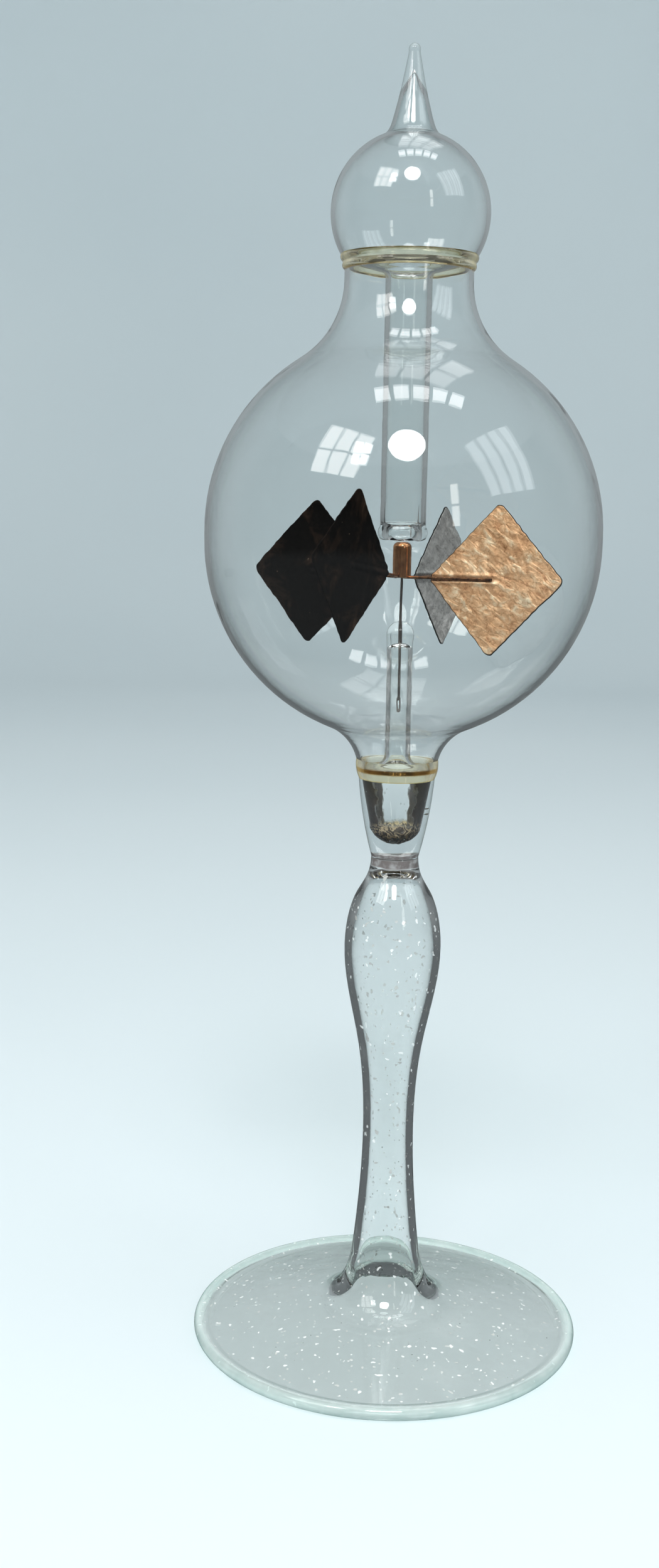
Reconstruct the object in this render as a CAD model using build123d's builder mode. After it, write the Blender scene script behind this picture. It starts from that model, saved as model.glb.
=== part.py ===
"""Crookes radiometer on a stemmed glass foot.

Millimetres, +Z up. The origin is the middle of the foot's underside, and the rotor turns about Z.
Glass pieces are revolved about Z from a half section in the XZ plane, given as (radius, height).
"""

import os
from math import acos, asin, degrees, sqrt

from build123d import *

os.makedirs("parts", exist_ok=True)

# Room between fused faces, so that neighbours touch and never overlap
seal_gap = 0.02

# Foot: a shallow glass cone with a thick rounded rim, drawn up to a collar
foot_radius = 40.9
foot_rim_height = 2.8
foot_rim_width = 4.0
foot_disc_thickness = 2.2
foot_cone_rise = 0.19
foot_flare_reach = 16.0
foot_mouth_reach = 12.5
foot_mouth_lean = 0.1
foot_collar_height = 14.0
foot_collar_lean = 0.3

# Stem: a hollow baluster, with each station's radius and its rise above the station below
stem_wall = 1.5
stem_base_radius = 7.95
stem_ankle_radius, stem_ankle_rise = 6.7, 7.5
stem_slim_radius, stem_slim_rise = 5.3, 22.5
stem_swell_radius, stem_swell_rise = 6.75, 20.0
stem_belly_radius, stem_belly_rise = 10.0, 21.8
stem_shoulder_radius, stem_shoulder_rise = 7.6, 10.4
stem_waist_radius, stem_waist_rise = 4.87, 7.6
stem_dome_thickness = 2.8

# Cup between the stem and the globe, with a round-bottomed hollow
cup_height = 16.4
cup_rim_radius = 7.8
cup_middle_radius = 6.75
cup_mouth_radius = 4.8
cup_floor_radius = 3.5
cup_floor_thickness = 3.4

# Lower seal ring
lower_ring_height = 4.0
lower_ring_radius = 8.4
lower_ring_inner_radius = 6.8

# Globe: two half spheres and a short belt, with a throat below and a neck above
bulb_wall = 0.9
bulb_radius = 39.7
bulb_belt = 2.2
throat_radius = 8.05
throat_fillet = 10.0
throat_sunk = 2.6
neck_radius = 12.65
neck_fillet = 18.0
neck_height = 1.8

# Upper seal ring, with two ridges and a groove between them
upper_ring_height = 2.9
upper_ring_low_ridge = 13.2
upper_ring_groove_radius = 12.95
upper_ring_high_ridge = 13.55
upper_ring_inner_radius = 11.0

# Onion bulb, with the degrees that are cut off flat at its seat, and the drawn tip of the pump
# line, with each station's rise above the one below
finial_wall = 0.8
finial_radius = 15.6
finial_seat_radius = 13.5
finial_run_out = 25.0
tip_base_radius = 5.9
tip_shoulder_radius, tip_shoulder_rise = 3.95, 2.9
tip_middle_radius, tip_middle_rise = 2.73, 4.6
tip_end_radius, tip_end_rise = 1.0, 8.4
tip_end_lean = 0.2
tip_solid_length = 3.9
tip_bore_lean = 0.3
bead_radius = 1.15

# Support tube: a flared foot in the lower ring and a solid domed head
support_wall = 0.9
support_radius = 2.6
support_height = 30.1
support_flare_rise = 0.8
support_flare_fillet = 3.0
support_head_radius = 2.78
support_head_height = 5.3
support_bore_dome = 1.0

# Needle, point up, with its eye in the support tube
needle_length = 33.5
needle_radius = 0.27
needle_tip_radius = 0.03
needle_free_length = 14.7
needle_point_length = 7.0
eye_head_length = 3.4
eye_head_width = 0.8
eye_head_thickness = 0.5
eye_length = 1.9
eye_width = 0.3

# Glass cup on the needle's point, and the metal cap around it
pivot_gap = 0.05
pivot_cup_height = 4.6
pivot_cup_crown = 0.5
pivot_cup_mouth_radius = 1.0
pivot_socket_radius = 0.16
cap_radius = 1.85
cap_wall = 0.35
cap_height = 7.0
cap_crown = 0.6
cap_rounding = 1.1

# Guard tube: a melted, thickened lip over the cap and a flange in the upper ring
guard_wall = 1.0
guard_radius = 4.6
guard_cap_clearance = 0.3
guard_lip_radius = 5.05
guard_lip_bore_radius = 2.7
guard_lip_height = 3.2
guard_lip_fillet = 0.5
guard_flange_drop = 1.6
guard_flange_fillet = 1.6

# Arms and vanes. Each was set by hand, so its bearing, its rise and its twist in degrees differ
hand_settings = ((-36.0, 1.0, 7.0), (61.5, -1.5, 0.5), (147.5, 1.0, -4.5), (239.5, 8.0, 1.0))
arm_radius = 0.28
arm_inner_end = 1.0
arm_outer_end = 20.9
vane_side = 21.2
vane_corner = 1.2
vane_thickness = 0.2
vane_centre = 21.3
black_thickness = 0.1
black_margin = 0.1

# Heights of the glass, stacked from the foot up
stem_ankle = foot_collar_height + stem_ankle_rise
stem_slim = stem_ankle + stem_slim_rise
stem_swell = stem_slim + stem_swell_rise
stem_belly = stem_swell + stem_belly_rise
stem_shoulder = stem_belly + stem_shoulder_rise
stem_top = stem_shoulder + stem_waist_rise
cup_top = stem_top + cup_height
bulb_bottom = cup_top + lower_ring_height
throat_level = bulb_bottom - throat_sunk
throat_reach = sqrt((bulb_radius + throat_fillet) ** 2 - (throat_radius + throat_fillet) ** 2)
bulb_low_centre = throat_level + throat_reach
bulb_high_centre = bulb_low_centre + bulb_belt
neck_reach = sqrt((bulb_radius + neck_fillet) ** 2 - (neck_radius + neck_fillet) ** 2)
neck_level = bulb_high_centre + neck_reach
neck_top = neck_level + neck_height
finial_bottom = neck_top + upper_ring_height
finial_centre = finial_bottom + sqrt(finial_radius**2 - finial_seat_radius**2)
tip_bottom = finial_centre + sqrt(finial_radius**2 - tip_base_radius**2)
tip_shoulder = tip_bottom + tip_shoulder_rise
tip_middle = tip_shoulder + tip_middle_rise
tip_end = tip_middle + tip_end_rise
throat_seam_radius = throat_radius + throat_fillet - sqrt(throat_fillet**2 - throat_sunk**2)

# Heights of the bearing, stacked from the lower ring up
support_foot = cup_top + lower_ring_height / 2
support_top = support_foot + support_height
needle_top = support_top + needle_free_length
needle_bottom = needle_top - needle_length
pivot_cup_top = needle_top + pivot_gap + pivot_cup_crown
cap_top = pivot_cup_top + seal_gap + cap_crown
cap_bottom = cap_top - cap_height
guard_bottom = cap_top + guard_cap_clearance
guard_top = neck_top + upper_ring_height / 2


def write(builder, name):
    """Labels a finished piece and writes it."""
    builder.part.label = name
    export_step(builder.part, f"parts/{name}.step")


# Foot
rim_round = foot_rim_height / 2
rim_middle = foot_radius - rim_round
step_radius = foot_radius - foot_rim_width
with BuildPart() as foot:
    with BuildSketch(Plane.XZ):
        with BuildLine():
            flare_start = foot_disc_thickness + foot_cone_rise * (step_radius - foot_flare_reach)
            mouth_edge = foot_cone_rise * (step_radius - foot_mouth_reach)
            land = Line((step_radius, 0), (rim_middle, 0))
            rim = ThreePointArc(land @ 1, (foot_radius, rim_round), (rim_middle, foot_rim_height))
            step = Spline(
                rim @ 1, (step_radius, foot_disc_thickness), tangents=[(-1, 0), (-1, foot_cone_rise)]
            )
            upper = Line(step @ 1, (foot_flare_reach, flare_start))
            flare = Spline(
                upper @ 1,
                (stem_base_radius, foot_collar_height),
                tangents=[(-1, foot_cone_rise), (-foot_collar_lean, 1)],
            )
            collar = Line(flare @ 1, (stem_base_radius - stem_wall, foot_collar_height))
            mouth = Spline(
                collar @ 1,
                (foot_mouth_reach, mouth_edge),
                tangents=[(foot_mouth_lean, -1), (1, -foot_cone_rise)],
            )
            Line(mouth @ 1, land @ 0)
        make_face()
    revolve(axis=Axis.Z)
write(foot, "foot")

# Stem
stem_outside = (
    (stem_base_radius, foot_collar_height),
    (stem_ankle_radius, stem_ankle),
    (stem_slim_radius, stem_slim),
    (stem_swell_radius, stem_swell),
    (stem_belly_radius, stem_belly),
    (stem_shoulder_radius, stem_shoulder),
)
stem_inside = [(radius - stem_wall, height) for radius, height in stem_outside]
with BuildPart() as stem:
    with BuildSketch(Plane.XZ):
        with BuildLine():
            outside = Spline(
                *stem_outside,
                (stem_waist_radius, stem_top),
                tangents=[(-foot_collar_lean, 1), (0, 1)],
            )
            inside = Spline(
                *stem_inside,
                (0, stem_top - stem_dome_thickness),
                tangents=[(-foot_collar_lean, 1), (-1, 0)],
            )
            Line(inside @ 0, outside @ 0)
            Polyline(inside @ 1, (0, stem_top), outside @ 1)
        make_face()
    revolve(axis=Axis.Z)
write(stem, "stem")

# Cup
with BuildPart() as stem_cup:
    with BuildSketch(Plane.XZ):
        with BuildLine():
            floor = stem_top + cup_floor_thickness
            outside = ThreePointArc(
                (stem_waist_radius, stem_top),
                (cup_middle_radius, stem_top + cup_height / 2),
                (cup_rim_radius, cup_top),
            )
            side = Line((cup_mouth_radius, cup_top), (cup_floor_radius, floor + cup_floor_radius))
            bowl = TangentArc((0, floor), side @ 1, tangent=(1, 0))
            Line(outside @ 1, side @ 0)
            Polyline(bowl @ 0, (0, stem_top), outside @ 0)
        make_face()
    revolve(axis=Axis.Z)
write(stem_cup, "stem_cup")

# Lower seal ring
with BuildPart() as lower_seal_ring:
    with BuildSketch(Plane.XZ):
        with BuildLine():
            bulge = ThreePointArc(
                (cup_rim_radius, cup_top),
                (lower_ring_radius, cup_top + lower_ring_height / 2),
                (throat_seam_radius, bulb_bottom),
            )
            Polyline(
                bulge @ 1,
                (lower_ring_inner_radius, bulb_bottom),
                (lower_ring_inner_radius, cup_top),
                bulge @ 0,
            )
        make_face()
    revolve(axis=Axis.Z)
write(lower_seal_ring, "lower_seal_ring")

# Globe
with BuildPart() as bulb:
    with BuildSketch(Plane.XZ):
        with BuildLine():
            low_share = bulb_radius / (bulb_radius + throat_fillet)
            high_share = bulb_radius / (bulb_radius + neck_fillet)
            throat_meets = (
                (throat_radius + throat_fillet) * low_share,
                bulb_low_centre - throat_reach * low_share,
            )
            neck_meets = (
                (neck_radius + neck_fillet) * high_share,
                bulb_high_centre + neck_reach * high_share,
            )
            belt = Line((bulb_radius, bulb_low_centre), (bulb_radius, bulb_high_centre))
            lower = TangentArc(belt @ 0, throat_meets, tangent=(0, -1))
            throat = TangentArc(lower @ 1, (throat_radius, throat_level), tangent=lower % 1)
            upper = TangentArc(belt @ 1, neck_meets, tangent=(0, 1))
            shoulder = TangentArc(upper @ 1, (neck_radius, neck_level), tangent=upper % 1)
            neck = Line(shoulder @ 1, (neck_radius, neck_top))
            offset(amount=bulb_wall, side=Side.LEFT)
        make_face()
    revolve(axis=Axis.Z)
    split(bisect_by=Plane.XY.offset(bulb_bottom))
write(bulb, "bulb")

# Upper seal ring
with BuildPart() as upper_seal_ring:
    with BuildSketch(Plane.XZ):
        with BuildLine():
            low_ridge = ThreePointArc(
                (neck_radius, neck_top),
                (upper_ring_low_ridge, neck_top + upper_ring_height / 4),
                (upper_ring_groove_radius, neck_top + upper_ring_height / 2),
            )
            high_ridge = ThreePointArc(
                low_ridge @ 1,
                (upper_ring_high_ridge, finial_bottom - upper_ring_height / 4),
                (finial_seat_radius, finial_bottom),
            )
            Polyline(
                high_ridge @ 1,
                (upper_ring_inner_radius, finial_bottom),
                (upper_ring_inner_radius, neck_top),
                low_ridge @ 0,
            )
        make_face()
    revolve(axis=Axis.Z)
write(upper_seal_ring, "upper_seal_ring")

# Onion bulb
with BuildPart() as finial:
    with BuildSketch(Plane.XZ):
        with BuildLine():
            seat_angle = degrees(asin((finial_bottom - finial_centre) / finial_radius))
            tip_angle = degrees(acos(tip_base_radius / finial_radius))
            low_angle = seat_angle - finial_run_out
            CenterArc((0, finial_centre), finial_radius, low_angle, tip_angle - low_angle)
            offset(amount=finial_wall, side=Side.LEFT)
        make_face()
    revolve(axis=Axis.Z)
    split(bisect_by=Plane.XY.offset(finial_bottom))
write(finial, "finial")

# Drawn tip of the pump line, hollow at its base and solid above
with BuildPart() as exhaust_tip:
    with BuildSketch(Plane.XZ):
        with BuildLine():
            base_slope = (finial_centre - tip_bottom, tip_base_radius)
            shrink = 1 - finial_wall / finial_radius
            inner_base = (
                tip_base_radius * shrink,
                finial_centre + (tip_bottom - finial_centre) * shrink,
            )
            outside = Spline(
                (tip_base_radius, tip_bottom),
                (tip_shoulder_radius, tip_shoulder),
                (tip_middle_radius, tip_middle),
                (tip_end_radius, tip_end),
                tangents=[base_slope, (-tip_end_lean, 1)],
            )
            inside = Spline(
                inner_base,
                (tip_shoulder_radius - finial_wall, tip_shoulder),
                (tip_middle_radius - finial_wall, tip_middle),
                (0, tip_end - tip_solid_length),
                tangents=[base_slope, (-tip_bore_lean, 1)],
            )
            Line(inside @ 0, outside @ 0)
            Polyline(inside @ 1, (0, tip_end), outside @ 1)
        make_face()
    revolve(axis=Axis.Z)
    with Locations((0, 0, tip_end)):
        Sphere(bead_radius)
write(exhaust_tip, "exhaust_tip")

# Support tube
tube_middle = support_radius - support_wall / 2
flare_end = lower_ring_inner_radius - seal_gap - support_wall / 2
head_floor = support_top - support_head_height
with BuildPart() as support_tube:
    with BuildSketch(Plane.XZ):
        with BuildLine():
            FilletPolyline(
                (flare_end, support_foot),
                (tube_middle, support_foot + support_flare_rise),
                (tube_middle, head_floor),
                radius=support_flare_fillet,
            )
            offset(amount=support_wall / 2)
        make_face()
    revolve(axis=Axis.Z)
    with BuildSketch(Plane.XZ):
        with BuildLine():
            dome_edge = support_top - support_head_radius
            ceiling = TangentArc(
                (0, head_floor + support_bore_dome),
                (support_radius - support_wall, head_floor),
                tangent=(1, 0),
            )
            base = Line(ceiling @ 1, (support_radius, head_floor))
            swell = Spline(base @ 1, (support_head_radius, dome_edge), tangents=[(0, 1), (0, 1)])
            dome = TangentArc(swell @ 1, (0, support_top), tangent=(0, 1))
            Line(dome @ 1, ceiling @ 0)
        make_face()
    revolve(axis=Axis.Z)
    with Locations((0, 0, needle_bottom)):
        Cylinder(
            needle_radius + seal_gap,
            needle_length,
            align=(Align.CENTER, Align.CENTER, Align.MIN),
            mode=Mode.SUBTRACT,
        )
write(support_tube, "support_tube")

# Needle
with BuildPart() as needle:
    with BuildSketch(Plane.XZ):
        with BuildLine():
            Polyline(
                (0, needle_bottom + eye_head_length / 2),
                (needle_radius, needle_bottom + eye_head_length / 2),
                (needle_radius, needle_top - needle_point_length),
                (needle_tip_radius, needle_top),
                (0, needle_top),
                close=True,
            )
        make_face()
    revolve(axis=Axis.Z)
    with BuildSketch(Plane.XZ):
        with Locations((0, needle_bottom + eye_head_length / 2)):
            SlotOverall(eye_head_length, eye_head_width, rotation=90)
    extrude(amount=eye_head_thickness / 2, both=True)
    with BuildSketch(Plane.XZ):
        with Locations((0, needle_bottom + eye_head_length / 2)):
            SlotOverall(eye_length, eye_width, rotation=90)
    extrude(amount=eye_head_width, both=True, mode=Mode.SUBTRACT)
write(needle, "needle")

# Glass cup that rides on the needle's point
cap_bore_radius = cap_radius - cap_wall
with BuildPart() as pivot_cup:
    with BuildSketch(Plane.XZ):
        with BuildLine():
            cup_bottom = pivot_cup_top - pivot_cup_height
            socket = needle_top + pivot_gap
            outside = Polyline(
                (0, socket),
                (0, pivot_cup_top),
                (cap_bore_radius - seal_gap, pivot_cup_top),
                (cap_bore_radius - seal_gap, cup_bottom),
                (pivot_cup_mouth_radius, cup_bottom),
                (pivot_socket_radius, socket - pivot_socket_radius),
            )
            TangentArc(outside @ 0, outside @ 1, tangent=(1, 0))
        make_face()
    revolve(axis=Axis.Z)
write(pivot_cup, "pivot_cup")


def arm_directions(bearing, rise, twist):
    """The way an arm runs out from the cap, and the way the black side of its plate faces."""
    outward = Vector(1, 0, 0).rotate(Axis.Z, bearing)
    across = Vector(0, 1, 0).rotate(Axis.Z, bearing)
    along = outward.rotate(Axis((0, 0, 0), across), -rise)
    facing = across.rotate(Axis((0, 0, 0), along), -twist)
    return along, facing


# Metal cap, with a half-round notch in its rim for each arm
rim_centre = Vector(0, 0, cap_bottom)
with BuildPart() as rotor_cap:
    with Locations((0, 0, cap_bottom)):
        Cylinder(cap_radius, cap_height, align=(Align.CENTER, Align.CENTER, Align.MIN))
    fillet(rotor_cap.edges().sort_by(Axis.Z)[-1], radius=cap_rounding)
    with Locations((0, 0, cap_bottom)):
        Cylinder(
            cap_bore_radius,
            cap_height - cap_crown,
            align=(Align.CENTER, Align.CENTER, Align.MIN),
            mode=Mode.SUBTRACT,
        )
    for setting in hand_settings:
        with BuildSketch(Plane(origin=rim_centre, z_dir=arm_directions(*setting)[0])):
            Circle(arm_radius + seal_gap)
        extrude(amount=2 * cap_radius, mode=Mode.SUBTRACT)
write(rotor_cap, "rotor_cap")

# Guard tube
guard_middle = guard_radius - guard_wall / 2
flange_end = upper_ring_inner_radius - seal_gap - guard_wall / 2
lip_middle = guard_bottom + guard_lip_height / 2
with BuildPart() as guard_tube:
    with BuildSketch(Plane.XZ) as guard_profile:
        with BuildLine():
            FilletPolyline(
                (guard_middle, lip_middle),
                (guard_middle, guard_top - guard_flange_drop),
                (flange_end, guard_top),
                radius=guard_flange_fillet,
            )
            offset(amount=guard_wall / 2)
        make_face()
        with Locations(((guard_lip_radius + guard_lip_bore_radius) / 2, lip_middle)):
            Ellipse((guard_lip_radius - guard_lip_bore_radius) / 2, guard_lip_height / 2)
        lip_corners = guard_profile.vertices().filter_by_position(
            Axis.Y, lip_middle, lip_middle + guard_lip_height
        )
        fillet(lip_corners, radius=guard_lip_fillet)
    revolve(axis=Axis.Z)
write(guard_tube, "guard_tube")

# Arms and vanes: the wire lies on the bright side of its plate, and the other side is black
for number, setting in enumerate(hand_settings, start=1):
    along, facing = arm_directions(*setting)

    with BuildPart() as arm:
        with BuildSketch(Plane(origin=rim_centre + along * arm_inner_end, z_dir=along)):
            Circle(arm_radius)
        extrude(amount=arm_outer_end - arm_inner_end)
    write(arm, f"arm_{number}")

    bright_centre = rim_centre + along * vane_centre + facing * (arm_radius + seal_gap)
    with BuildPart() as vane:
        with BuildSketch(Plane(origin=bright_centre, x_dir=along, z_dir=facing)) as outline:
            Rectangle(vane_side, vane_side, rotation=45)
            fillet(outline.vertices(), radius=vane_corner)
        extrude(amount=vane_thickness)
    write(vane, f"vane_{number}")

    dark_centre = bright_centre + facing * vane_thickness
    with BuildPart() as black:
        with BuildSketch(Plane(origin=dark_centre, x_dir=along, z_dir=facing)) as outline:
            Rectangle(vane_side - 2 * black_margin, vane_side - 2 * black_margin, rotation=45)
            fillet(outline.vertices(), radius=vane_corner)
        extrude(amount=black_thickness)
    write(black, f"vane_{number}_black")
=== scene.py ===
"""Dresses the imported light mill: blown glass, mica, soot, wire and needle in a pale studio.

Metres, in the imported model's frame. The turned glass is read from the CAD nodes' own outlines and
turned again as one continuous skin, without the faces where two pieces are fused.
"""

from math import cos, exp, hypot, pi, radians, sin
from random import Random

import bmesh
import bpy
from mathutils import Matrix, Vector, noise
from mathutils.bvhtree import BVHTree


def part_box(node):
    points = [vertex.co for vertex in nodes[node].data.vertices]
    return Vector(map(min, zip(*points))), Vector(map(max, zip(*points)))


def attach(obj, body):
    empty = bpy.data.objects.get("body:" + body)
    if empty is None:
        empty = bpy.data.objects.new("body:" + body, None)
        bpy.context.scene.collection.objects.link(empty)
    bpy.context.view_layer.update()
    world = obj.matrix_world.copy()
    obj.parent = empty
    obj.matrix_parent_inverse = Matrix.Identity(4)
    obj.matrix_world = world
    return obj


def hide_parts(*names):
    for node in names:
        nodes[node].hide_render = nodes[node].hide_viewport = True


MM = 0.001

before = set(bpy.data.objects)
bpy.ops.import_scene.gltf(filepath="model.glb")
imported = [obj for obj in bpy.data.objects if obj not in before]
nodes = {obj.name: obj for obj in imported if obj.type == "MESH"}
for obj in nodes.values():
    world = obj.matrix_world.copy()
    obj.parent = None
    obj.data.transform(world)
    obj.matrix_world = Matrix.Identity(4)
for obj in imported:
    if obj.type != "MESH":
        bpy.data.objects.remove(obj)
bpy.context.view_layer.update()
scene = bpy.context.scene


# Materials


class Tree:
    """A material's node tree, with short calls to add nodes and links."""

    def __init__(self, name):
        self.material = bpy.data.materials.new(name)
        self.material.use_nodes = True
        self.nodes = self.material.node_tree.nodes
        self.links = self.material.node_tree.links
        self.nodes.clear()
        self.output = self.nodes.new("ShaderNodeOutputMaterial")

    def add(self, kind, inputs=None, **settings):
        """Adds a node. Inputs are values or other nodes' sockets, by name or number."""
        node = self.nodes.new("ShaderNode" + kind)
        for key, value in settings.items():
            setattr(node, key, value)
        for key, value in (inputs or {}).items():
            if isinstance(value, bpy.types.NodeSocket):
                self.links.new(value, node.inputs[key])
            else:
                node.inputs[key].default_value = value
        return node

    def noise(self, scale, detail=2.0, roughness=0.5, vector=None, distortion=0.0):
        inputs = {"Scale": scale, "Detail": detail, "Roughness": roughness, "Distortion": distortion}
        if vector is not None:
            inputs["Vector"] = vector
        return self.add("TexNoise", inputs).outputs["Fac"]

    def ramp(self, factor, stops):
        node = self.add("ValToRGB", {"Fac": factor})
        elements = node.color_ramp.elements
        while len(elements) < len(stops):
            elements.new(0.5)
        for element, (place, colour) in zip(elements, stops):
            element.position = place
            element.color = (*colour, 1.0) if isinstance(colour, tuple) else (colour,) * 3 + (1.0,)
        return node.outputs["Color"]

    def mix(self, factor, a, b):
        node = self.add("Mix", data_type="RGBA")
        for socket, value in ((0, factor), (6, a), (7, b)):
            if isinstance(value, bpy.types.NodeSocket):
                self.links.new(value, node.inputs[socket])
            else:
                node.inputs[socket].default_value = value if socket == 0 else (*value, 1.0)
        return node.outputs[2]

    def math(self, operation, a, b=0.0, c=0.0):
        return self.add("Math", {0: a, 1: b, 2: c}, operation=operation).outputs[0]

    def place(self):
        return self.add("TexCoord").outputs["Object"]

    def share(self, value, start, end, low=0.0, high=1.0):
        """Smooth step of a value from one number at its start to another at its end."""
        inputs = {0: value, 1: start, 2: end, 3: low, 4: high}
        return self.add("MapRange", inputs, interpolation_type="SMOOTHSTEP").outputs[0]

    def reach(self, place):
        """Distance from the Z axis."""
        flat = self.add("Mapping", {"Vector": place, "Scale": (1.0, 1.0, 0.0)}).outputs[0]
        return self.add("VectorMath", {0: flat}, operation="LENGTH").outputs["Value"]

    def finish(self, shader):
        self.links.new(shader, self.output.inputs["Surface"])
        return self.material


def glass(name, tint, edge_tint, shadow_tint, ripple=0.0, edge_from=0.62, stains=(), films=()):
    """Clear glass that lets lamps through, deeper in tint and shadow where a wall is seen edge on.

    A stain is a level, a half width and a tint: a flux line all round the seam at that level.
    A film is a call that gives a share and a colour that lies on the glass: dust, flux, a painted dark
    reflection with painted glints, or a painted glow.
    """
    tree = Tree(name)
    place = tree.place()
    facing = tree.add("LayerWeight", {"Blend": 0.5}).outputs["Facing"]
    colour = tree.ramp(facing, ((0.0, tint), (edge_from, tint), (0.97, edge_tint)))
    rise = tree.add("SeparateXYZ", {0: place}).outputs["Z"]
    wander = tree.math("MULTIPLY", tree.noise(260.0, 2.0, 0.5, place), 0.4 * MM)
    level = tree.math("ADD", rise, wander)
    for height, width, stain_tint in stains:
        away = tree.math("ABSOLUTE", tree.math("SUBTRACT", level, height + 0.2 * MM))
        colour = tree.mix(tree.share(away, 0.4 * width, width, 1.0, 0.0), colour, stain_tint)
    covered = None
    for film in films:
        share, film_colour = film(tree, place, facing, rise)
        colour = tree.mix(share, colour, film_colour)
        covered = share if covered is None else tree.math("MAXIMUM", covered, share)
    inputs = {"Base Color": colour, "Roughness": 0.0, "IOR": 1.47, "Transmission Weight": 1.0}
    if covered is not None:
        inputs["Transmission Weight"] = tree.math("SUBTRACT", 1.0, covered)
    if ripple:
        height = tree.noise(190.0, 1.0, 0.4, place)
        bump = tree.add("Bump", {"Strength": ripple, "Distance": 0.0006, "Height": height})
        inputs["Normal"] = bump.outputs["Normal"]
    body = tree.add("BsdfPrincipled", inputs)
    veil = tree.ramp(facing, ((0.0, shadow_tint), (0.7, shadow_tint), (1.0, (0.3, 0.34, 0.34))))
    through = tree.add("BsdfTransparent", {"Color": veil})
    is_shadow = tree.add("LightPath").outputs["Is Shadow Ray"]
    both = tree.add("MixShader", {0: is_shadow, 1: body.outputs[0], 2: through.outputs[0]})
    return tree.finish(both.outputs[0])


CUP_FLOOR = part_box("stem_cup")[0].z + 3.4 * MM
HOLLOW_REACH = 5.0 * MM


def dust(amount):
    """Pale specks and a faint bloom, as an old glass has."""

    def film(tree, place, facing, rise):
        specks = tree.share(tree.noise(780.0, 1.0, 0.4, place), 0.71, 0.73, 0.0, 0.8 * amount)
        bloom = tree.share(tree.noise(95.0, 4.0, 0.6, place), 0.5, 0.8, 0.0, 0.06 * amount)
        return tree.math("MAXIMUM", specks, bloom), (0.9, 0.92, 0.9)

    return film


def green_rim_painted_glow(tree, place, facing, rise):
    """The foot's thick rim: the pale green of its deep glass, made part opaque and light as a painted
    glow of the lit rim.
    """
    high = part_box("foot")[1].x
    streaks = tree.noise(150.0, 3.0, 0.6, place)
    # Opaque pale green share at the rim: painted glow, partly the real green of thick glass.
    share = tree.share(tree.reach(place), high - 2.4 * MM, high - 0.5 * MM, 0.0, 0.62)
    colour = tree.ramp(streaks, ((0.35, (0.36, 0.56, 0.52)), (0.65, (0.62, 0.78, 0.74))))
    return share, colour


def painted_dark_hollow(tree, place, facing, rise):
    """The cup's hollow: brown where its wall is seen aslant and over its floor, a painted dark
    reflection, with cream lines near the floor as painted glints.
    """
    floor = CUP_FLOOR - 0.2 * MM
    near_axis = tree.share(tree.reach(place), HOLLOW_REACH, HOLLOW_REACH + 0.2 * MM, 1.0, 0.0)
    above_floor = tree.share(rise, floor - 0.5 * MM, floor, 0.0, 1.0)
    inside = tree.math("MULTIPLY", near_axis, above_floor)
    wobble = tree.math("MULTIPLY_ADD", tree.noise(330.0, 3.0, 0.6, place), 0.5, -0.25)
    # Painted dark reflection where the hollow's wall is seen aslant.
    turned = tree.share(tree.math("ADD", facing, wobble), 0.2, 0.27, 0.0, 0.88)
    # Cream lines near the floor: painted glints.
    lines = tree.ramp(
        tree.noise(640.0, 2.0, 0.5, place, 1.5), ((0.42, 0.0), (0.48, 1.0), (0.53, 1.0), (0.58, 0.0))
    )
    ragged = tree.math("ADD", rise, tree.math("MULTIPLY", wobble, 4 * MM))
    near_floor = tree.share(ragged, floor + 3.6 * MM, floor + 4.6 * MM, 1.0, 0.0)
    # Brown of the painted dark reflection.
    dark = tree.ramp(
        tree.noise(500.0, 3.0, 0.6, place), ((0.35, (0.02, 0.012, 0.01)), (0.7, (0.085, 0.058, 0.05)))
    )
    colour = tree.mix(tree.math("MULTIPLY", lines, near_floor), dark, (0.95, 0.78, 0.5))
    # Painted dark reflection and glints over the hollow's floor.
    floor_painted_share = tree.math("MULTIPLY", near_floor, 0.86)
    return tree.math("MULTIPLY", inside, tree.math("MAXIMUM", turned, floor_painted_share)), colour


def painted_dark_waist(tree, place, facing, rise):
    """The solid waist under the cup, with a brown band of painted dark reflection about the fused seam.
    """
    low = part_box("stem_cup")[0].z
    wave = tree.math("MULTIPLY", tree.noise(220.0, 2.0, 0.5, place), 1.2 * MM)
    level = tree.math("ADD", rise, wave)
    above = tree.share(level, low - 1.6 * MM, low - 1.1 * MM, 0.0, 1.0)
    below = tree.share(level, low + 1.4 * MM, low + 1.9 * MM, 1.0, 0.0)
    band = tree.math("MULTIPLY", above, below)
    away = tree.math("ABSOLUTE", tree.math("SUBTRACT", rise, low))
    line = tree.share(away, 0.1 * MM, 0.2 * MM, 0.0, 1.0)
    painted_patchiness = tree.share(tree.noise(420.0, 3.0, 0.6, place), 0.3, 0.6, 0.62, 0.9)
    # Brown of the painted dark reflection, patchy, clear at the seam line itself.
    share = tree.math("MULTIPLY", tree.math("MULTIPLY", band, line), painted_patchiness)
    return share, (0.055, 0.03, 0.026)


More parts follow.
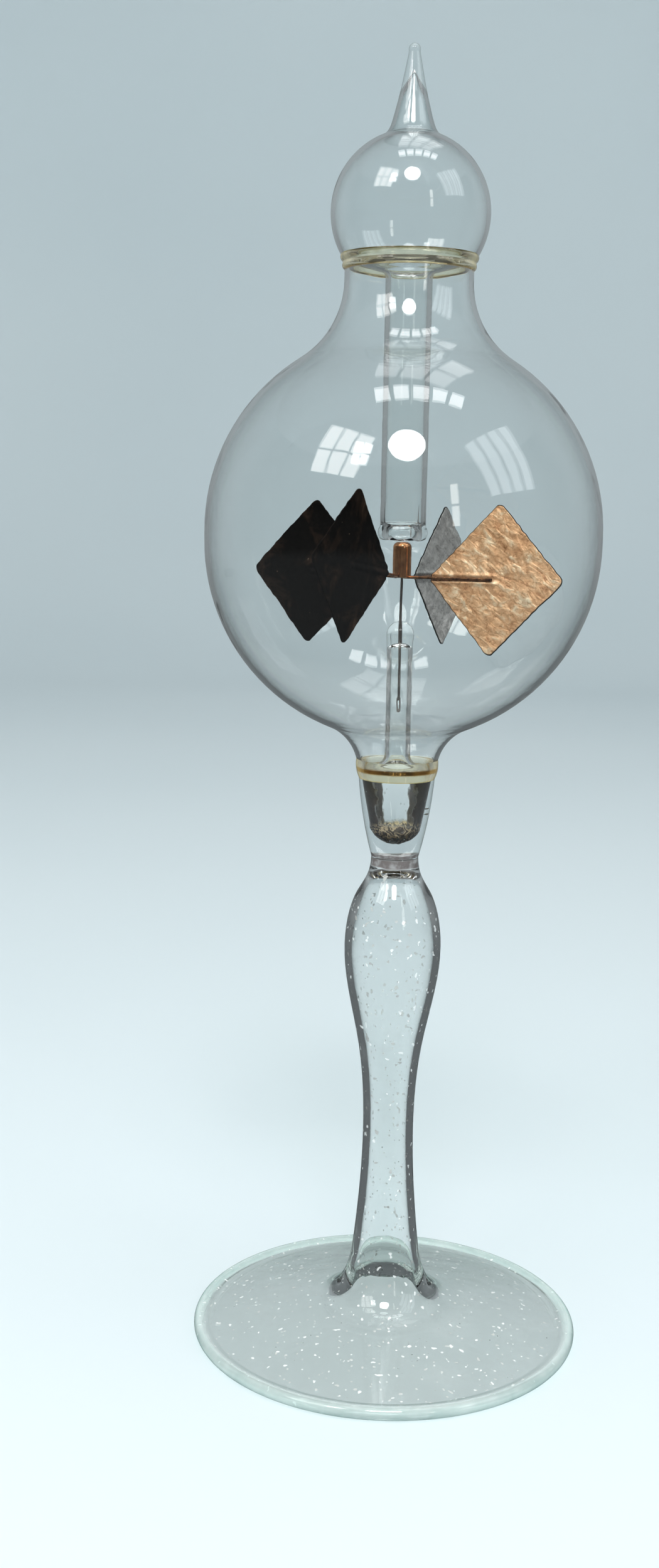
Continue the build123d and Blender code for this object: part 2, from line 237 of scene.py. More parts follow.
def painted_reflection_mouth(tree, place, facing, rise):
    """The stem's open mouth under the foot, brown inside with a few bright glints: a painted dark
    reflection with painted glints.
    """
    inside = tree.share(tree.reach(place), 5.2 * MM, 6.6 * MM, 1.0, 0.0)
    near_floor = tree.share(rise, 3.5 * MM, 5.5 * MM, 1.0, 0.0)
    patches = tree.noise(300.0, 3.0, 0.6, place)
    painted_patchiness = tree.share(patches, 0.35, 0.5, 0.45, 0.85)
    share = tree.math("MULTIPLY", tree.math("MULTIPLY", inside, near_floor), painted_patchiness)
    # Dark browns are the painted reflection, the bright last stop the painted glints.
    colour = tree.ramp(
        patches,
        ((0.4, (0.05, 0.03, 0.022)), (0.56, (0.13, 0.07, 0.045)), (0.66, (0.9, 0.6, 0.42))),
    )
    return share, colour


def gold_edge(strength, colour):
    """Yellow flux in a seam, stronger where the ring is seen edge on."""

    def film(tree, place, facing, rise):
        streaks = tree.noise(330.0, 3.0, 0.6, place)
        share = tree.share(facing, 0.3, 0.75, 0.12 * strength, strength)
        return tree.math("MULTIPLY", share, tree.share(streaks, 0.3, 0.6, 0.6, 1.0)), colour

    return film


def ring_levels(name):
    low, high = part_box(name)
    return low.z, (low.z + high.z) / 2, high.z


def make_glasses():
    """Looks by node. The seal rings keep the yellow and brown lines of the flux; the brown films at the
    waist, the mouth and the cup's hollow are painted dark reflection.
    """
    clear = glass("clear_glass_look", (0.98, 0.994, 0.99), (0.66, 0.75, 0.75), (0.95, 0.965, 0.96), 0.05)
    thick = glass(
        "stem_glass_look",
        (0.965, 0.985, 0.98),
        (0.58, 0.66, 0.65),
        (0.93, 0.95, 0.945),
        0.07,
        films=(dust(0.8), painted_dark_waist, painted_reflection_mouth),
    )
    cup = glass(
        "cup_glass_look",
        (0.965, 0.985, 0.98),
        (0.6, 0.67, 0.66),
        (0.93, 0.95, 0.945),
        0.07,
        films=(painted_dark_hollow, painted_dark_waist),
    )
    foot = glass(
        "foot_glass_look",
        (0.94, 0.98, 0.97),
        (0.45, 0.68, 0.62),
        (0.975, 0.99, 0.985),
        0.08,
        films=(dust(1.0), painted_reflection_mouth, green_rim_painted_glow),
    )
    tip = glass("tip_glass_look", (0.96, 0.98, 0.975), (0.3, 0.37, 0.37), (0.9, 0.93, 0.92), 0.05, 0.35)
    low, middle, high = ring_levels("lower_seal_ring")
    lower = glass(
        "lower_seal_look",
        (0.985, 0.96, 0.84),
        (0.9, 0.78, 0.42),
        (0.85, 0.8, 0.6),
        0.12,
        stains=((middle, 0.65 * MM, (0.55, 0.3, 0.07)), (low, 0.25 * MM, (0.9, 0.75, 0.4))),
        films=(gold_edge(0.6, (0.86, 0.66, 0.28)),),
    )
    low, middle, high = ring_levels("upper_seal_ring")
    upper = glass(
        "upper_seal_look",
        (0.985, 0.95, 0.78),
        (0.88, 0.74, 0.4),
        (0.85, 0.8, 0.6),
        0.12,
        stains=((high, 0.35 * MM, (0.3, 0.28, 0.14)), (low, 0.35 * MM, (0.72, 0.48, 0.2))),
        films=(gold_edge(0.55, (0.66, 0.53, 0.24)),),
    )
    return {
        "foot": foot,
        "stem": thick,
        "stem_cup": cup,
        "lower_seal_ring": lower,
        "bulb": clear,
        "upper_seal_ring": upper,
        "finial": clear,
        "exhaust_tip": tip,
        "guard_tube": clear,
        "support_tube": clear,
        "pivot_cup": clear,
    }


GLASS_LOOKS = make_glasses()


def steel():
    tree = Tree("needle_look")
    place = tree.place()
    streak = tree.add("Mapping", {"Vector": place, "Scale": (4000.0, 4000.0, 120.0)}).outputs[0]
    wear = tree.noise(1.0, 3.0, 0.6, streak)
    colour = tree.ramp(wear, ((0.3, (0.09, 0.08, 0.072)), (0.75, (0.3, 0.27, 0.25))))
    rough = tree.math("MULTIPLY_ADD", wear, 0.25, 0.18)
    shader = tree.add(
        "BsdfPrincipled", {"Base Color": colour, "Metallic": 1.0, "Roughness": rough}
    )
    return tree.finish(shader.outputs[0])


def copper(name, bright, dark, scale, smoothness):
    """Copper-coloured metal with darker oxidised streaks along it; on the cap, stretched along its axis,
    the streaks are also painted reflection bands.
    """
    tree = Tree(name)
    place = tree.place()
    along = tree.add("Mapping", {"Vector": place, "Scale": scale}).outputs[0]
    streaks = tree.noise(1.0, 4.0, 0.6, along)
    spots = tree.noise(900.0, 3.0, 0.6, place)
    both = tree.math("ADD", tree.math("MULTIPLY", streaks, 0.75), tree.math("MULTIPLY", spots, 0.25))
    colour = tree.ramp(both, ((0.4, dark), (0.6, bright)))
    rough = tree.math("MULTIPLY_ADD", both, -0.25, smoothness + 0.12)
    bump = tree.add("Bump", {"Strength": 0.25, "Distance": 0.00003, "Height": streaks})
    shader = tree.add(
        "BsdfPrincipled",
        {
            "Base Color": colour,
            "Metallic": 0.9,
            "Roughness": rough,
            "Normal": bump.outputs["Normal"],
        },
    )
    return tree.finish(shader.outputs[0])


def mica(name, painted_crease_shade, body, pale, painted_glint):
    """Crinkled bright side of a plate: warm sheet with strokes and flakes that catch the light, its
    colour darker in the dips of the bump and near white on its tops as painted shade and painted glints.
    """
    tree = Tree(name)
    place = tree.place()
    strokes_place = tree.add(
        "Mapping",
        {"Vector": place, "Rotation": (0.0, radians(35.0), 0.0), "Scale": (1.0, 1.0, 0.4)},
        vector_type="TEXTURE",
    ).outputs[0]
    strokes = tree.noise(270.0, 5.0, 0.62, strokes_place, 0.7)
    flakes = tree.noise(1300.0, 4.0, 0.6, place, 0.8)
    both = tree.math("ADD", tree.math("MULTIPLY", strokes, 0.75), tree.math("MULTIPLY", flakes, 0.25))
    # The same noise as the bump: painted shade in its dips, painted glints on its tops.
    colour = tree.ramp(both, ((0.3, painted_crease_shade), (0.42, body), (0.54, pale), (0.66, painted_glint)))
    rough = tree.ramp(flakes, ((0.35, 0.22), (0.65, 0.48)))
    bump = tree.add("Bump", {"Strength": 0.9, "Distance": 0.0003, "Height": both})
    shader = tree.add(
        "BsdfPrincipled",
        {
            "Base Color": colour,
            "Metallic": 0.25,
            "Roughness": rough,
            "Normal": bump.outputs["Normal"],
        },
    )
    return tree.finish(shader.outputs[0])


WORN_LEVEL = 0.175
WORN_SPAN = 8 * MM


def soot():
    """Matt lampblack, worn to brown in patches, most of all near a plate's upper corner."""
    tree = Tree("lampblack_look")
    place = tree.place()
    patches = tree.noise(140.0, 5.0, 0.65, place, 0.6)
    rise = tree.add("SeparateXYZ", {0: place}).outputs["Z"]
    upper = tree.add(
        "MapRange", {0: rise, 1: WORN_LEVEL, 2: WORN_LEVEL + WORN_SPAN, 3: 0.0, 4: 0.2}
    ).outputs[0]
    worn = tree.math("ADD", patches, upper)
    colour = tree.ramp(
        worn,
        (
            (0.50, (0.0022, 0.0017, 0.0014)),
            (0.62, (0.02, 0.012, 0.008)),
            (0.78, (0.085, 0.052, 0.034)),
        ),
    )
    flecks = tree.ramp(tree.noise(1500.0, 2.0, 0.5, place), ((0.76, 0.0), (0.79, 1.0)))
    colour = tree.mix(flecks, colour, (0.2, 0.15, 0.11))
    grain = tree.noise(3500.0, 3.0, 0.7, place)
    bump = tree.add("Bump", {"Strength": 0.2, "Distance": 0.00002, "Height": grain})
    shader = tree.add(
        "BsdfPrincipled",
        {"Base Color": colour, "Roughness": 0.95, "Normal": bump.outputs["Normal"]},
    )
    shader.inputs["Specular IOR Level"].default_value = 0.06
    return tree.finish(shader.outputs[0])


needle_look = steel()
# Cap: streaks stretched along the axis, bright to dark, partly oxide and partly painted reflection bands.
cap_oxide_and_painted_bands = copper("cap_oxide_and_painted_bands", (1.0, 0.5, 0.24), (0.2, 0.065, 0.025), (620.0, 620.0, 25.0), 0.14)
wire_look = copper("wire_look", (0.42, 0.2, 0.09), (0.06, 0.028, 0.016), (500.0, 500.0, 500.0), 0.3)
solder_look = copper("solder_look", (0.9, 0.72, 0.52), (0.25, 0.15, 0.1), (900.0, 900.0, 900.0), 0.16)
copper_mica = mica(
    "mica_look", (0.42, 0.18, 0.075), (0.74, 0.4, 0.2), (0.87, 0.54, 0.3), (1.0, 0.84, 0.6)
)
# A grey copy of the same mica for one plate: painted reflection of a greyer surround, as its face is seen
# turned aside.
grey_painted_reflection_mica = mica(
    "mica_painted_grey_reflection_look", (0.3, 0.28, 0.265), (0.52, 0.5, 0.485), (0.66, 0.64, 0.62), (0.85, 0.83, 0.81)
)
soot_look = soot()


# Mesh helpers


def new_object(name, mesh, material, body, slot, *replaced):
    for polygon in mesh.polygons:
        polygon.use_smooth = True
    piece = bpy.data.objects.new(name, mesh)
    scene.collection.objects.link(piece)
    mesh.materials.append(material)
    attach(piece, body)
    if replaced:
        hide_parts(*replaced)


def dress(name, material):
    """Gives a CAD node that stays its material."""
    mesh = nodes[name].data
    if mesh.materials:
        nodes[name].material_slots[0].material = material
    else:
        mesh.materials.append(material)


# Outlines of the turned glass, read from the CAD nodes

GLASS_NODES = (
    "foot",
    "stem",
    "stem_cup",
    "lower_seal_ring",
    "bulb",
    "upper_seal_ring",
    "finial",
    "exhaust_tip",
    "guard_tube",
    "support_tube",
)
MICRON = 1e-6
PLANE_GAP = 0.6 * MICRON


def outline_edges(name):
    """Edges of the node's outline in the half plane y = 0, x >= 0, as pairs of whole microns."""
    mesh = nodes[name].data
    flat = {}
    for vertex in mesh.vertices:
        x, y, z = vertex.co
        if abs(y) < PLANE_GAP and x > -PLANE_GAP:
            flat[vertex.index] = (round(x / MICRON), round(z / MICRON))
    edges = set()
    for edge in mesh.edges:
        a, b = edge.vertices
        if a in flat and b in flat and flat[a] != flat[b]:
            edges.add(tuple(sorted((flat[a], flat[b]))))
    return edges


def cut_out(spans, start, end):
    """Takes what lies between two radii out of level spans."""
    pieces = []
    for low, high in spans:
        pieces.append((low, (min(high[0], start), high[1])))
        pieces.append(((max(low[0], end), low[1]), high))
    return [piece for piece in pieces if piece[1][0] - piece[0][0] > 1]


def without_seams(edges):
    """Takes from each node's edges what it shares with another glass node."""
    kept = {}
    for name, own in edges.items():
        others = [edge for other in edges if other != name for edge in edges[other]]
        kept[name] = []
        for a, b in own:
            if (a, b) in others:
                continue
            spans = [(a, b)]
            if abs(a[1] - b[1]) <= 1:
                for c, d in others:
                    if abs(c[1] - d[1]) <= 1 and abs(a[1] - c[1]) <= 1:
                        spans = cut_out(spans, c[0], d[0])
            kept[name] += spans
    return kept


def chains(edges):
    """Joins edges end to end into open or closed runs of points."""
    links = {}
    for a, b in edges:
        links.setdefault(a, []).append(b)
        links.setdefault(b, []).append(a)
    runs = []
    while links:
        ends = [point for point, near in links.items() if len(near) == 1]
        point = min(ends) if ends else min(links)
        run = [point]
        while links.get(point):
            following = links[point].pop()
            links[following].remove(point)
            if not links[point]:
                del links[point]
            point = following
            run.append(point)
        links.pop(point, None)
        runs.append([Vector((x * MICRON, z * MICRON)) for x, z in run])
    return runs


def resampled(run, step):
    """Evenly spaced points along a run."""
    lengths = [0.0]
    for a, b in zip(run, run[1:]):
        lengths.append(lengths[-1] + (b - a).length)
    count = max(2, round(lengths[-1] / step))
    points, index = [], 0
    for number in range(count + 1):
        target = lengths[-1] * number / count
        while index < len(lengths) - 2 and lengths[index + 1] < target:
            index += 1
        span = lengths[index + 1] - lengths[index]
        points.append(run[index].lerp(run[index + 1], (target - lengths[index]) / span))
    return points


RUN_STEP = 0.08 * MM
KEPT_TURN = radians(3.0)
KEPT_REACH = 3.0 * MM


def polished(run, melt):
    """Rounds a run's corners as a flame does, then keeps a point at each small turn."""
    closed = (run[0] - run[-1]).length < 2 * MICRON
    points = resampled(run, RUN_STEP)
    if closed:
        points = points[:-1]
    window = max(1, round(melt / RUN_STEP))
    for _ in range(2):
        smooth = []
        for index in range(len(points)):
            if closed:
                near = [points[(index + k) % len(points)] for k in range(-window, window + 1)]
            else:
                half = min(window, index, len(points) - 1 - index)
                near = points[index - half : index + half + 1]
            smooth.append(sum(near, Vector((0.0, 0.0))) / len(near))
        points = smooth
    kept, turned, gone = [points[0]], 0.0, 0.0
    for before, point, after in zip(points, points[1:], points[2:]):
        turned += abs((point - before).angle_signed(after - point, 0.0))
        gone += (point - before).length
        if turned >= KEPT_TURN or gone >= KEPT_REACH:
            kept.append(point)
            turned = gone = 0.0
    kept.append(points[-1])
    if closed:
        kept.append(points[0])
    return kept


def solid_tree(name):
    mesh = nodes[name].data
    return BVHTree.FromPolygons([v.co for v in mesh.vertices], [p.vertices for p in mesh.polygons])


def lathe(name, runs, count=160, warp=None):
    """Turns runs of (radius, height) about Z, with the faces looking the way the CAD node's do."""
    mesh = bpy.data.meshes.new(name)
    shape = bmesh.new()
    for run in runs:
        closed = (run[0] - run[-1]).length < 2 * MICRON
        rows = []
        for radius, height in run[:-1] if closed else run:
            if radius < 5 * MICRON:
                rows.append([shape.verts.new((0, 0, height))] * count)
                continue
            row = []
            for number in range(count):
                angle = 2 * pi * number / count
                point = Vector((radius * cos(angle), radius * sin(angle), height))
                row.append(shape.verts.new(warp(point) if warp else point))
            rows.append(row)
        if closed:
            rows.append(rows[0])
        for low, high in zip(rows, rows[1:]):
            for number in range(count):
                after = (number + 1) % count
                corners = [low[number], low[after], high[after], high[number]]
                shape.faces.new(list(dict.fromkeys(corners)))
    shape.normal_update()
    tree = solid_tree(name)
    wrong = []
    for face in shape.faces:
        normal = tree.find_nearest(face.calc_center_median())[1]
        if normal and face.normal.dot(normal) < 0:
            wrong.append(face)
    if len(wrong) > len(shape.faces) / 2 or len(runs) > 1:
        bmesh.ops.reverse_faces(shape, faces=wrong)
    shape.to_mesh(mesh)
    shape.free()
    return mesh


LIP_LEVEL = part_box("guard_tube")[0].z


def lip_warp(point):
    """Leaves the guard tube's fire-polished lip a little wavy."""
    share = max(0.0, 1.0 - (point.z - LIP_LEVEL) / (4.5 * MM))
    wave = noise.noise(Vector((point.x, point.y, 0.5 * point.z)) * 520.0)
    side = Vector((point.x, point.y, 0.0)).normalized()
    return point + side * (0.22 * MM * share * wave) + Vector((0, 0, 0.2 * MM * share * wave))


def cup_warp(point):
    """Leaves the floor of the cup's hollow lumpy, where the melt ran together."""
    reach = hypot(point.x, point.y)
    if reach > 4.6 * MM or point.z < CUP_FLOOR - 0.2 * MM:
        return point
    share = max(0.0, 1.0 - (point.z - CUP_FLOOR) / (6.5 * MM))
    lumps = noise.fractal(point * 650.0, 0.8, 2.0, 3, noise_basis="PERLIN_ORIGINAL")
    scale = 1.0 + 0.13 * share * lumps
    return Vector((point.x * scale, point.y * scale, point.z + 0.35 * MM * share * lumps))


WARPS = {"guard_tube": lip_warp, "stem_cup": cup_warp}
MELT = 0.25 * MM
TIP_MELT = 0.12 * MM
NEEDLE_PLAY = 0.03 * MM
AXIS_REACH = 0.5 * MM


def make_glass():
    """Turns each glass node's outline again, with the support tube closed round the needle."""
    edges = without_seams({name: outline_edges(name) for name in GLASS_NODES})
    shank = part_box("needle")[0].z + 10 * MM
    bore = max(v.co.x for v in nodes["needle"].data.vertices if v.co.z > shank)
    for name in GLASS_NODES:
        own = edges[name]
        if name == "support_tube":
            hole = (bore + NEEDLE_PLAY) / MICRON
            own = [edge for edge in own if max(edge[0][0], edge[1][0]) > hole]
        runs = chains(own)
        if name == "support_tube":
            for run in runs:
                for end, into in ((0, 0), (-1, len(run))):
                    if run[end].x < AXIS_REACH:
                        run.insert(into, Vector((0.0, run[end].y)))
        melt = TIP_MELT if name == "exhaust_tip" else MELT
        smooth = [polished(run, melt) for run in runs if len(run) > 1]
        mesh = lathe(name, smooth, warp=WARPS.get(name))
        slot = "seal_glass" if name.endswith("_ring") else "clear_glass"
        new_object(name + "_glass", mesh, GLASS_LOOKS[name], "glass_body", slot, name)


make_glass()


def wall_at(tree, start, way):
    """Where a ray first enters a node's glass, and where it leaves it again."""
    first = tree.ray_cast(start, way)[0]
    second = tree.ray_cast(first + way * 0.02 * MM, way)[0] if first else None
    return first, second


def seeds(name, count, low, high, upright):
    """Tiny drawn-out air bubbles in a node's glass wall, between two heights or two radii."""
    chance = Random(name)
    tree = solid_tree(name)
    shape = bmesh.new()
    made = 0
    while made < count:
        angle = chance.uniform(0.0, 2 * pi)
        if upright:
            way = Vector((cos(angle), sin(angle), 0.0))
            start = Vector((0.0, 0.0, chance.uniform(low, high)))
            long_way = Vector((0.0, 0.0, 1.0))
        else:
            way = Vector((0.0, 0.0, 1.0))
            start = Vector((cos(angle), sin(angle), 0.0)) * chance.uniform(low, high)
            start.z = -1 * MM
            long_way = Vector((-sin(angle), cos(angle), 0.0))
        near, far = wall_at(tree, start, way)
        if not near or not far or (far - near).length < 0.5 * MM:
            continue
        size = chance.uniform(0.05, 0.13) * MM
        middle_place = near.lerp(far, chance.uniform(0.35, 0.65))
        made += 1
        ball = bmesh.ops.create_icosphere(shape, subdivisions=2, radius=size)
        for vertex in ball["verts"]:
            stretch = vertex.co.dot(long_way) * 1.6 * (1.0 - size / (0.16 * MM))
            vertex.co = vertex.co + long_way * stretch + middle_place
    bmesh.ops.reverse_faces(shape, faces=shape.faces)
    mesh = bpy.data.meshes.new(name + "_seeds")
    shape.to_mesh(mesh)
    shape.free()
    new_object(name + "_seeds", mesh, GLASS_LOOKS["bulb"], "glass_body", "clear_glass")


seeds("stem", 46, 10 * MM, 97 * MM, True)
seeds("stem_cup", 10, 112.5 * MM, 119 * MM, True)
seeds("foot", 40, 11 * MM, 37 * MM, False)


# Rotor: crinkled plates, their black coats, wires and cap


def middle(name):
    corners = nodes[name].data.vertices
    return sum((v.co for v in corners), Vector()) / len(corners)


def plate_frame(number):
    """Where a plate sits: the middle of its bright face, along its arm, up it, and out of it."""
    wire = sorted(nodes[f"arm_{number}"].data.vertices, key=lambda v: v.co.xy.length)
    half = len(wire) // 2
    inner = sum((v.co for v in wire[:half]), Vector()) / half
    outer = sum((v.co for v in wire[half:]), Vector()) / (len(wire) - half)
    along = (outer - inner).normalized()
    facing = middle(f"vane_{number}_black") - middle(f"vane_{number}")
    facing = (facing - along * facing.dot(along)).normalized()
    up = facing.cross(along)
    up = up if up.z > 0 else -up
    depths = [v.co.dot(facing) for v in nodes[f"vane_{number}"].data.vertices]
    centre = middle(f"vane_{number}")
    return centre + facing * (min(depths) - centre.dot(facing)), along, up, facing


PLATE_HALF = 10.6 * MM
PLATE_CORNER = 1.2 * MM
HEM = 0.06 * MM


def plate_points(half, corner, rows):
    """Grid over a square with rounded corners, its sides at 45 degrees, as (along, up) rows."""
    inner = half - HEM
    steps = [-half] + [-inner + 2 * inner * k / (rows - 2) for k in range(rows - 1)] + [half]
    grid = []
    for b_step in steps:
        line = []
        for a_step in steps:
            a, b = a_step, b_step
            reach = half - corner
            over_a, over_b = max(0.0, abs(a) - reach), max(0.0, abs(b) - reach)
            if over_a and over_b:
                pull = max(over_a, over_b) / hypot(over_a, over_b)
                a = (reach + over_a * pull) * (1 if a > 0 else -1)
                b = (reach + over_b * pull) * (1 if b > 0 else -1)
            line.append(((a - b) / 2**0.5, (a + b) / 2**0.5))
        grid.append(line)
    return grid


def wire_fold(along, up):
    """The groove that the wire is pressed into, with a ridge on each side of it."""
    share = min(1.0, max(0.0, (1.0 * MM - along) / (1.2 * MM)))
    groove = 0.12 * MM * exp(-((up / (0.4 * MM)) ** 2))
    ridge = 0.2 * MM * exp(-(((abs(up) - 0.75 * MM) / (0.3 * MM)) ** 2))
    return share * (groove - ridge)


def crinkle(number, along, up):
    """How far a plate stands out of its plane there."""
    place = Vector((along, up, number * 0.31 * MM)) / MM
    broad = noise.noise(place * 0.12 + Vector((7.0, 3.0, 1.0)))
    facets = noise.voronoi(place * 0.42 + Vector((number * 9.0, 0.0, 0.0)))[0][0]
    creases = noise.fractal(place * 0.9, 0.9, 2.1, 4, noise_basis="PERLIN_ORIGINAL")
    return (0.16 * broad + 0.2 * (facets - 0.5) + 0.055 * creases) * MM + wire_fold(along, up)


def sheet(name, number, near, far, half, hem_near, material, slot, rows=96):
    """A thin crinkled plate between two depths behind its bright face, and its hem's own depth."""
    centre, along, up, facing = plate_frame(number)
    grid = plate_points(half, PLATE_CORNER, rows)
    shape = bmesh.new()
    layers = []
    for depth in (near, far):
        layer = []
        for place, line in enumerate(grid):
            row = []
            for column, (a, b) in enumerate(line):
                hem = place in (0, rows) or column in (0, rows)
                edge = 0.14 * MM * noise.noise(Vector((a, b, number * MM)) * 900.0)
                scale = 1.0 + edge / half
                out = (hem_near if hem and depth == near else depth) + crinkle(number, a, b)
                row.append(shape.verts.new(centre + along * a * scale + up * b * scale + facing * out))
            layer.append(row)
        layers.append(layer)
    for flip, layer in enumerate(layers):
        for row in range(rows):
            for column in range(rows):
                corners = [
                    layer[row][column],
                    layer[row][column + 1],
                    layer[row + 1][column + 1],
                    layer[row + 1][column],
                ]
                shape.faces.new(corners[::-1] if flip else corners)
    rim = (
        [(0, k) for k in range(rows)]
        + [(k, rows) for k in range(rows)]
        + [(rows, rows - k) for k in range(rows)]
        + [(rows - k, 0) for k in range(rows)]
    )
    for (r1, c1), (r2, c2) in zip(rim, rim[1:] + rim[:1]):
        shape.faces.new([layers[0][r2][c2], layers[0][r1][c1], layers[1][r1][c1], layers[1][r2][c2]])
    bmesh.ops.recalc_face_normals(shape, faces=shape.faces)
    mesh = bpy.data.meshes.new(name)
    shape.to_mesh(mesh)
    shape.free()
    new_object(name + "_sheet", mesh, material, "rotor", slot, name)


def solder_ring():
    """The lumpy bright metal that holds the wires under the cap's rim."""
    low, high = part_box("rotor_cap")
    around, across = 72, 20
    major, minor = 0.72 * high.x, 0.34 * MM
    shape = bmesh.new()
    rows = []
    for number in range(around):
        angle = 2 * pi * number / around
        row = []
        for step in range(across):
            turn = 2 * pi * step / across
            place = Vector((cos(angle), sin(angle), 0.0)) * (major + minor * cos(turn))
            place.z = low.z + 0.12 * MM + 0.8 * minor * sin(turn)
            lumps = noise.noise(place * 1500.0) + 0.6 * cos(4 * angle - 2.0)
            side = Vector((cos(angle) * cos(turn), sin(angle) * cos(turn), sin(turn)))
            row.append(shape.verts.new(place + side * 0.12 * MM * lumps))
        rows.append(row)
    for number in range(around):
        following = rows[(number + 1) % around]
        for step in range(across):
            after = (step + 1) % across
            shape.faces.new([rows[number][step], following[step], following[after], rows[number][after]])
    bmesh.ops.recalc_face_normals(shape, faces=shape.faces)
    mesh = bpy.data.meshes.new("solder")
    shape.to_mesh(mesh)
    shape.free()
    new_object("solder", mesh, solder_look, "rotor", "cap_metal")


# The plate whose bright face takes the grey copy of the mica, a painted reflection.
PAINTED_GREY_PLATE = 2
MICA_BACK = 0.19 * MM
COAT_FRONT = 0.2 * MM
COAT_BACK = 0.3 * MM
COAT_HEM = 0.02 * MM


def make_rotor():
    for number in range(1, 5):
        vane = f"vane_{number}"
        coat = vane + "_black"
        sheen = grey_painted_reflection_mica if number == PAINTED_GREY_PLATE else copper_mica
        sheet(vane, number, 0.0, MICA_BACK, PLATE_HALF - HEM, 0.0, sheen, "mica")
        sheet(coat, number, COAT_FRONT, COAT_BACK, PLATE_HALF + HEM, COAT_HEM, soot_look, "lampblack")
        dress(f"arm_{number}", wire_look)
    dress("rotor_cap", cap_oxide_and_painted_bands)
    solder_ring()
    dress("pivot_cup", GLASS_LOOKS["pivot_cup"])


make_rotor()
dress("needle", needle_look)


# Studio: a pale round sweep, soft lamps, and the lamp and roof windows that the globe mirrors


MIRROR_DIMMING = 0.97


def make_sweep():
    """The pale floor and wall. What mirrors them shows a dim hall, darker on its near side."""
    floor_reach, bend, wall_top, count = 1.25, 0.75, 1.75, 96
    profile = [Vector((radius, 0.0)) for radius in (0.0, 0.4, 0.8, floor_reach)]
    for number in range(1, 25):
        angle = radians(84.0) * number / 24
        profile.append(Vector((floor_reach + bend * sin(angle), bend * (1 - cos(angle)))))
    profile.append(Vector((floor_reach + bend * 1.1, wall_top)))
    shape = bmesh.new()
    rows = []
    for radius, height in profile:
        if radius == 0.0:
            rows.append([shape.verts.new((0, 0, height))] * count)
            continue
        rows.append(
            [
                shape.verts.new(
                    (radius * cos(2 * pi * k / count), radius * sin(2 * pi * k / count), height)
                )
                for k in range(count)
            ]
        )
    for low, high in zip(rows, rows[1:]):
        for k in range(count):
            after = (k + 1) % count
            shape.faces.new(list(dict.fromkeys((low[k], low[after], high[after], high[k]))))
    mesh = bpy.data.meshes.new("sweep")
    shape.to_mesh(mesh)
    shape.free()
    for polygon in mesh.polygons:
        polygon.use_smooth = True
    tree = Tree("sweep_paint")
    apart = tree.add("SeparateXYZ", {0: tree.place()})
    cloud = tree.noise(1.6, 2.0, 0.5, tree.place())
    paint = tree.ramp(cloud, ((0.3, (0.66, 0.735, 0.76)), (0.7, (0.7, 0.77, 0.79))))
    shader = tree.add("BsdfPrincipled", {"Base Color": paint, "Roughness": 0.9})
    shader.inputs["Specular IOR Level"].default_value = 0.1
    near_hall = tree.ramp(
        apart.outputs["Z"],
        ((0.0, (0.1, 0.11, 0.115)), (0.06, (0.035, 0.038, 0.04)), (0.6, (0.015, 0.017, 0.018))),
    )
    far_hall = tree.ramp(
        apart.outputs["Z"],
        ((0.0, (0.2, 0.22, 0.225)), (0.06, (0.24, 0.26, 0.27)), (0.6, (0.33, 0.37, 0.385))),
    )
    hall = tree.mix(tree.share(apart.outputs["Y"], 0.1, 1.0), near_hall, far_hall)
    dim_hall = tree.add("Emission", {"Color": hall, "Strength": 1.0})
    bounced = tree.math("MINIMUM", tree.add("LightPath").outputs["Glossy Depth"], 1.0)
    mirrored = tree.math("MULTIPLY", bounced, MIRROR_DIMMING)
    both = tree.add("MixShader", {0: mirrored, 1: shader.outputs[0], 2: dim_hall.outputs[0]})
    mesh.materials.append(tree.finish(both.outputs[0]))
    sweep = bpy.data.objects.new("sweep", mesh)
    scene.collection.objects.link(sweep)


make_sweep()


def aim(thing, target):
    thing.rotation_mode = "QUATERNION"
    thing.rotation_quaternion = (Vector(target) - thing.location).to_track_quat("-Z", "Y")


def lamp(name, place, size, power, colour=(1.0, 1.0, 1.0), shape="SQUARE", target=(0, 0, 0.15)):
    light = bpy.data.lights.new(name, "AREA")
    light.shape = shape
    light.size = size[0]
    if len(size) > 1:
        light.size_y = size[1]
    light.energy = power
    light.color = colour
    thing = bpy.data.objects.new(name, light)
    thing.location = place
    thing.visible_camera = False
    scene.collection.objects.link(thing)
    aim(thing, target)


def window(name, centre, columns, rows, pane, gap, strength, colour=(1.0, 1.0, 1.0), target=(0, 0, 0.15)):
    """A soft window: a grid of panes that face the object, each as bright as the next."""
    middle_place, look = Vector(centre), Vector(target)
    turn = (look - middle_place).to_track_quat("-Z", "Y")
    right, up = turn @ Vector((1, 0, 0)), turn @ Vector((0, 1, 0))
    for column in range(columns):
        for row in range(rows):
            across = (column - (columns - 1) / 2) * (pane[0] + gap)
            above = (row - (rows - 1) / 2) * (pane[1] + gap)
            place = middle_place + right * across + up * above
            facing = place - (middle_place - look)
            power = strength * pane[0] * pane[1]
            lamp(f"{name}_{column}_{row}", place, pane, power, colour, "RECTANGLE", facing)


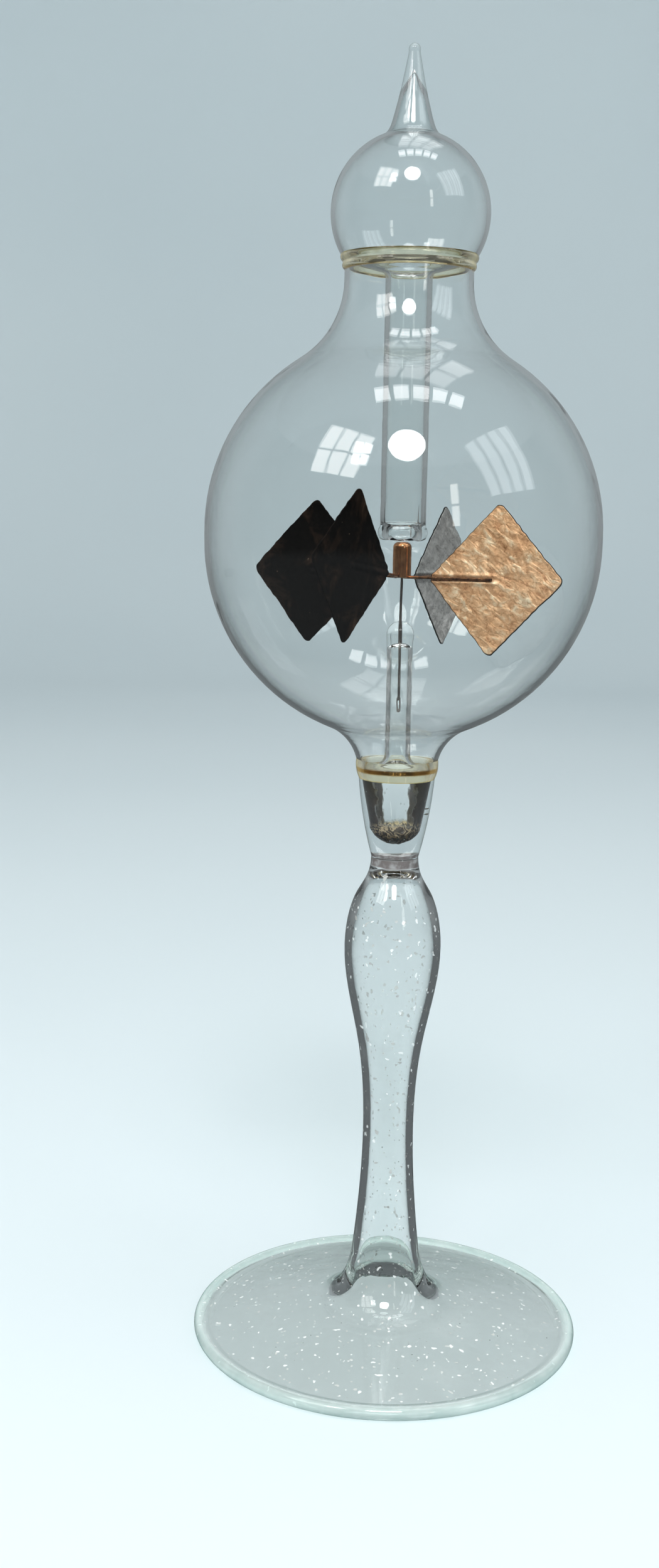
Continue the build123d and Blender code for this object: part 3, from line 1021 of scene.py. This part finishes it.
window("key", (-1.05, -0.95, 1.45), 3, 2, (0.27, 0.4), 0.035, 17.0, (1.0, 0.98, 0.95))
window("fill", (1.3, -0.6, 1.15), 4, 1, (0.2, 0.9), 0.05, 7.5, (0.93, 0.97, 1.0))
window("back", (0.2, 0.62, 2.2), 3, 2, (0.32, 0.46), 0.05, 5.0)
window("roof", (0.12, -0.13, 1.35), 5, 1, (0.13, 0.2), 0.035, 17.0, target=(0.12, -0.13, 0.0))
window("side", (-0.5, -0.78, 1.02), 2, 2, (0.085, 0.12), 0.02, 42.0)
window("low", (0.62, -1.2, 0.55), 1, 2, (0.1, 0.26), 0.03, 14.0, (1.0, 0.96, 0.9))
lamp("bulb_lamp", (-0.01, -0.72, 1.0), (0.36,), 8.0, shape="DISK", target=(0, 0, 0.17))

world = bpy.data.worlds.new("studio")
world.use_nodes = True
background = world.node_tree.nodes["Background"]
background.inputs["Color"].default_value = (0.86, 0.93, 0.97, 1.0)
background.inputs["Strength"].default_value = 0.32
scene.world = world


# Camera, as it stood for the photograph

CAMERA_PLACE = (-13.77 * MM, -350.6 * MM, 177.9 * MM)
CAMERA_DIP = radians(9.6)
CAMERA_ROLL = radians(1.05)
FOCAL_PIXELS = 2757.0
LONG_SIDE_PIXELS = 2500.0

camera_data = bpy.data.cameras.new("camera")
camera_data.sensor_width = 36.0
camera_data.lens = FOCAL_PIXELS / LONG_SIDE_PIXELS * camera_data.sensor_width
camera_data.clip_start = 0.02
camera_data.clip_end = 20.0
camera = bpy.data.objects.new("camera", camera_data)
camera.rotation_mode = "QUATERNION"
camera.location = CAMERA_PLACE
camera.rotation_quaternion = (
    Matrix.Rotation(pi / 2 - CAMERA_DIP, 3, "X") @ Matrix.Rotation(CAMERA_ROLL, 3, "Z")
).to_quaternion()
scene.collection.objects.link(camera)
scene.camera = camera

scene.view_settings.view_transform = "Standard"
scene.cycles.max_bounces = 32
scene.cycles.transmission_bounces = 32
scene.cycles.transparent_max_bounces = 32
scene.cycles.glossy_bounces = 12
scene.cycles.use_denoising = True
scene.cycles.sample_clamp_indirect = 6.0
scene.cycles.caustics_refractive = False
scene.cycles.caustics_reflective = False
